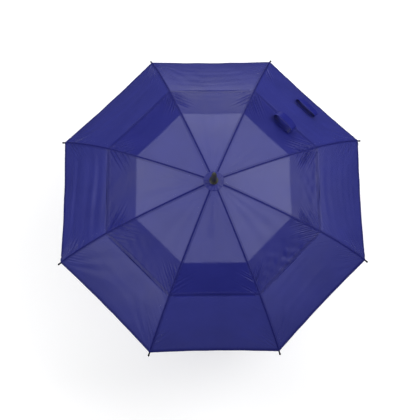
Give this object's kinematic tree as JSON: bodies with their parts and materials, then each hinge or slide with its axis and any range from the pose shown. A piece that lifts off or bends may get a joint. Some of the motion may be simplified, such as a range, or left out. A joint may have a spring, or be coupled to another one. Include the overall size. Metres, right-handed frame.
{
  "type": "golf umbrella",
  "caption": "Open golf umbrella with bowed ribs, a vented double canopy, a sliding runner, closure straps and a straight grip.",
  "frame": {"origin": "the middle of the hand grip, on the shaft's axis", "axes": "+Z along the shaft, from the grip up to the finial; the first pair of ribs is either side of +X"},
  "size_m": [1.246, 1.246, 1.052],
  "materials": {
    "canopy_cloth": "thin woven polyester, slightly translucent, soft sheen",
    "strap_cloth": "thin woven polyester, doubled",
    "fibreglass": "black pultruded fibreglass rod, satin",
    "black_plastic": "moulded black nylon",
    "finial_plastic": "moulded black plastic, lightly polished",
    "steel": "bright steel wire",
    "grip_foam": "moulded black foam"
  },
  "bodies": {
    "shaft_body": {"shaft": "fibreglass", "crown": "black_plastic", "crown_wire": "steel", "finial": "finial_plastic", "rosette": "strap_cloth", "grip": "grip_foam"},
    "rib_inner_1": {"rib_inner_1": "fibreglass", "upper_gore_1": "canopy_cloth"},
    "rib_outer_1": {"rib_outer_1": "fibreglass", "tip_cap_1": "black_plastic", "lower_gore_1": "canopy_cloth"},
    "stretcher_1": {"stretcher_1": "fibreglass"},
    "rib_inner_2": {"rib_inner_2": "fibreglass", "upper_gore_2": "canopy_cloth"},
    "rib_outer_2": {"rib_outer_2": "fibreglass", "tip_cap_2": "black_plastic", "lower_gore_2": "canopy_cloth"},
    "stretcher_2": {"stretcher_2": "fibreglass"},
    "rib_inner_3": {"rib_inner_3": "fibreglass", "upper_gore_3": "canopy_cloth"},
    "rib_outer_3": {"rib_outer_3": "fibreglass", "tip_cap_3": "black_plastic", "lower_gore_3": "canopy_cloth"},
    "stretcher_3": {"stretcher_3": "fibreglass"},
    "rib_inner_4": {"rib_inner_4": "fibreglass", "upper_gore_4": "canopy_cloth"},
    "rib_outer_4": {"rib_outer_4": "fibreglass", "tip_cap_4": "black_plastic", "lower_gore_4": "canopy_cloth"},
    "stretcher_4": {"stretcher_4": "fibreglass"},
    "rib_inner_5": {"rib_inner_5": "fibreglass", "upper_gore_5": "canopy_cloth"},
    "rib_outer_5": {"rib_outer_5": "fibreglass", "tip_cap_5": "black_plastic", "lower_gore_5": "canopy_cloth"},
    "stretcher_5": {"stretcher_5": "fibreglass"},
    "rib_inner_6": {"rib_inner_6": "fibreglass", "upper_gore_6": "canopy_cloth"},
    "rib_outer_6": {"rib_outer_6": "fibreglass", "tip_cap_6": "black_plastic", "lower_gore_6": "canopy_cloth"},
    "stretcher_6": {"stretcher_6": "fibreglass"},
    "rib_inner_7": {"rib_inner_7": "fibreglass", "upper_gore_7": "canopy_cloth"},
    "rib_outer_7": {"rib_outer_7": "fibreglass", "tip_cap_7": "black_plastic", "lower_gore_7": "canopy_cloth"},
    "stretcher_7": {"stretcher_7": "fibreglass"},
    "rib_inner_8": {"rib_inner_8": "fibreglass", "upper_gore_8": "canopy_cloth"},
    "rib_outer_8": {"rib_outer_8": "fibreglass", "tip_cap_8": "black_plastic", "lower_gore_8": "canopy_cloth"},
    "stretcher_8": {"stretcher_8": "fibreglass"},
    "runner": {"runner": "black_plastic", "runner_wire": "steel", "button_spring": "steel"},
    "button": {"runner_button": "black_plastic"},
    "upper_strap": {"upper_strap": "strap_cloth"},
    "lower_strap": {"lower_strap": "strap_cloth"}
  },
  "joints": [
    {"name": "fold_1", "type": "hinge", "parent": "shaft_body", "child": "rib_inner_1", "pos_m": [0.01293, 0.00536, 0.855], "axis": [-0.3827, 0.9239, 0], "range_deg": [0, 70.38], "deforming": ["upper_gore_1", "upper_gore_2", "upper_gore_3", "upper_gore_4", "upper_gore_5", "upper_gore_6", "upper_gore_7", "upper_gore_8", "lower_gore_1", "lower_gore_2", "lower_gore_3", "lower_gore_4", "lower_gore_5", "lower_gore_6", "lower_gore_7", "lower_gore_8"]},
    {"name": "fold_2", "type": "hinge", "parent": "shaft_body", "child": "rib_inner_2", "pos_m": [0.00536, 0.01293, 0.855], "axis": [-0.9239, 0.3827, 0], "range_deg": [0, 70.38]},
    {"name": "fold_3", "type": "hinge", "parent": "shaft_body", "child": "rib_inner_3", "pos_m": [-0.00536, 0.01293, 0.855], "axis": [-0.9239, -0.3827, 0], "range_deg": [0, 70.38]},
    {"name": "fold_4", "type": "hinge", "parent": "shaft_body", "child": "rib_inner_4", "pos_m": [-0.01293, 0.00536, 0.855], "axis": [-0.3827, -0.9239, 0], "range_deg": [0, 70.38]},
    {"name": "fold_5", "type": "hinge", "parent": "shaft_body", "child": "rib_inner_5", "pos_m": [-0.01293, -0.00536, 0.855], "axis": [0.3827, -0.9239, 0], "range_deg": [0, 70.38]},
    {"name": "fold_6", "type": "hinge", "parent": "shaft_body", "child": "rib_inner_6", "pos_m": [-0.00536, -0.01293, 0.855], "axis": [0.9239, -0.3827, 0], "range_deg": [0, 70.38]},
    {"name": "fold_7", "type": "hinge", "parent": "shaft_body", "child": "rib_inner_7", "pos_m": [0.00536, -0.01293, 0.855], "axis": [0.9239, 0.3827, 0], "range_deg": [0, 70.38]},
    {"name": "fold_8", "type": "hinge", "parent": "shaft_body", "child": "rib_inner_8", "pos_m": [0.01293, -0.00536, 0.855], "axis": [0.3827, 0.9239, 0], "range_deg": [0, 70.38]},
    {"name": "flex_1", "type": "hinge", "parent": "rib_inner_1", "child": "rib_outer_1", "pos_m": [0.41601, 0.17232, 0.72989], "axis": [-0.3827, 0.9239, 0], "range_deg": [-18.01, 0]},
    {"name": "flex_2", "type": "hinge", "parent": "rib_inner_2", "child": "rib_outer_2", "pos_m": [0.17232, 0.41601, 0.72989], "axis": [-0.9239, 0.3827, 0], "range_deg": [-18.01, 0]},
    {"name": "flex_3", "type": "hinge", "parent": "rib_inner_3", "child": "rib_outer_3", "pos_m": [-0.17232, 0.41601, 0.72989], "axis": [-0.9239, -0.3827, 0], "range_deg": [-18.01, 0]},
    {"name": "flex_4", "type": "hinge", "parent": "rib_inner_4", "child": "rib_outer_4", "pos_m": [-0.41601, 0.17232, 0.72989], "axis": [-0.3827, -0.9239, 0], "range_deg": [-18.01, 0]},
    {"name": "flex_5", "type": "hinge", "parent": "rib_inner_5", "child": "rib_outer_5", "pos_m": [-0.41601, -0.17232, 0.72989], "axis": [0.3827, -0.9239, 0], "range_deg": [-18.01, 0]},
    {"name": "flex_6", "type": "hinge", "parent": "rib_inner_6", "child": "rib_outer_6", "pos_m": [-0.17232, -0.41601, 0.72989], "axis": [0.9239, -0.3827, 0], "range_deg": [-18.01, 0]},
    {"name": "flex_7", "type": "hinge", "parent": "rib_inner_7", "child": "rib_outer_7", "pos_m": [0.17232, -0.41601, 0.72989], "axis": [0.9239, 0.3827, 0], "range_deg": [-18.01, 0]},
    {"name": "flex_8", "type": "hinge", "parent": "rib_inner_8", "child": "rib_outer_8", "pos_m": [0.41601, -0.17232, 0.72989], "axis": [0.3827, 0.9239, 0], "range_deg": [-18.01, 0]},
    {"name": "stretcher_joint_1", "type": "hinge", "parent": "rib_inner_1", "child": "stretcher_1", "pos_m": [0.30645, 0.12694, 0.76917], "axis": [-0.3827, 0.9239, 0], "range_deg": [-140.77, 0]},
    {"name": "stretcher_joint_2", "type": "hinge", "parent": "rib_inner_2", "child": "stretcher_2", "pos_m": [0.12694, 0.30645, 0.76917], "axis": [-0.9239, 0.3827, 0], "range_deg": [-140.77, 0]},
    {"name": "stretcher_joint_3", "type": "hinge", "parent": "rib_inner_3", "child": "stretcher_3", "pos_m": [-0.12694, 0.30645, 0.76917], "axis": [-0.9239, -0.3827, 0], "range_deg": [-140.77, 0]},
    {"name": "stretcher_joint_4", "type": "hinge", "parent": "rib_inner_4", "child": "stretcher_4", "pos_m": [-0.30645, 0.12694, 0.76917], "axis": [-0.3827, -0.9239, 0], "range_deg": [-140.77, 0]},
    {"name": "stretcher_joint_5", "type": "hinge", "parent": "rib_inner_5", "child": "stretcher_5", "pos_m": [-0.30645, -0.12694, 0.76917], "axis": [0.3827, -0.9239, 0], "range_deg": [-140.77, 0]},
    {"name": "stretcher_joint_6", "type": "hinge", "parent": "rib_inner_6", "child": "stretcher_6", "pos_m": [-0.12694, -0.30645, 0.76917], "axis": [0.9239, -0.3827, 0], "range_deg": [-140.77, 0]},
    {"name": "stretcher_joint_7", "type": "hinge", "parent": "rib_inner_7", "child": "stretcher_7", "pos_m": [0.12694, -0.30645, 0.76917], "axis": [0.9239, 0.3827, 0], "range_deg": [-140.77, 0]},
    {"name": "stretcher_joint_8", "type": "hinge", "parent": "rib_inner_8", "child": "stretcher_8", "pos_m": [0.30645, -0.12694, 0.76917], "axis": [0.3827, 0.9239, 0], "range_deg": [-140.77, 0]},
    {"name": "runner_slide", "type": "hinge", "parent": "stretcher_1", "child": "runner", "pos_m": [0.01293, 0.00536, 0.68334], "axis": [-0.3827, 0.9239, 0], "range_deg": [0, 70.39]},
    {"name": "button_press", "type": "slide", "parent": "runner", "child": "button", "axis": [-1, 0, 0], "range_m": [0, 0.0022], "stiffness_N_per_m": 1500, "springref_m": -0.0004, "deforming": ["button_spring"]},
    {"name": "upper_strap_swing", "type": "hinge", "parent": "rib_inner_1", "child": "upper_strap", "pos_m": [0.28916, 0.26795, 0.74638], "axis": [-0.7071, 0.7071, 0], "range_deg": [0, 70]},
    {"name": "lower_strap_swing", "type": "hinge", "parent": "rib_outer_1", "child": "lower_strap", "pos_m": [0.39217, 0.37095, 0.6446], "axis": [-0.7071, 0.7071, 0], "range_deg": [0, 70]}
  ],
  "couplings": [
    {"joint": "fold_2", "follows": "fold_1", "ratio": 1},
    {"joint": "fold_3", "follows": "fold_1", "ratio": 1},
    {"joint": "fold_4", "follows": "fold_1", "ratio": 1},
    {"joint": "fold_5", "follows": "fold_1", "ratio": 1},
    {"joint": "fold_6", "follows": "fold_1", "ratio": 1},
    {"joint": "fold_7", "follows": "fold_1", "ratio": 1},
    {"joint": "fold_8", "follows": "fold_1", "ratio": 1},
    {"joint": "flex_1", "follows": "fold_1", "ratio": -0.25575},
    {"joint": "flex_2", "follows": "fold_1", "ratio": -0.25575},
    {"joint": "flex_3", "follows": "fold_1", "ratio": -0.25575},
    {"joint": "flex_4", "follows": "fold_1", "ratio": -0.25575},
    {"joint": "flex_5", "follows": "fold_1", "ratio": -0.25575},
    {"joint": "flex_6", "follows": "fold_1", "ratio": -0.25575},
    {"joint": "flex_7", "follows": "fold_1", "ratio": -0.25575},
    {"joint": "flex_8", "follows": "fold_1", "ratio": -0.25575},
    {"joint": "stretcher_joint_1", "follows": "fold_1", "ratio": -2},
    {"joint": "stretcher_joint_2", "follows": "fold_1", "ratio": -2},
    {"joint": "stretcher_joint_3", "follows": "fold_1", "ratio": -2},
    {"joint": "stretcher_joint_4", "follows": "fold_1", "ratio": -2},
    {"joint": "stretcher_joint_5", "follows": "fold_1", "ratio": -2},
    {"joint": "stretcher_joint_6", "follows": "fold_1", "ratio": -2},
    {"joint": "stretcher_joint_7", "follows": "fold_1", "ratio": -2},
    {"joint": "stretcher_joint_8", "follows": "fold_1", "ratio": -2},
    {"joint": "runner_slide", "follows": "fold_1", "ratio": 1}
  ]
}
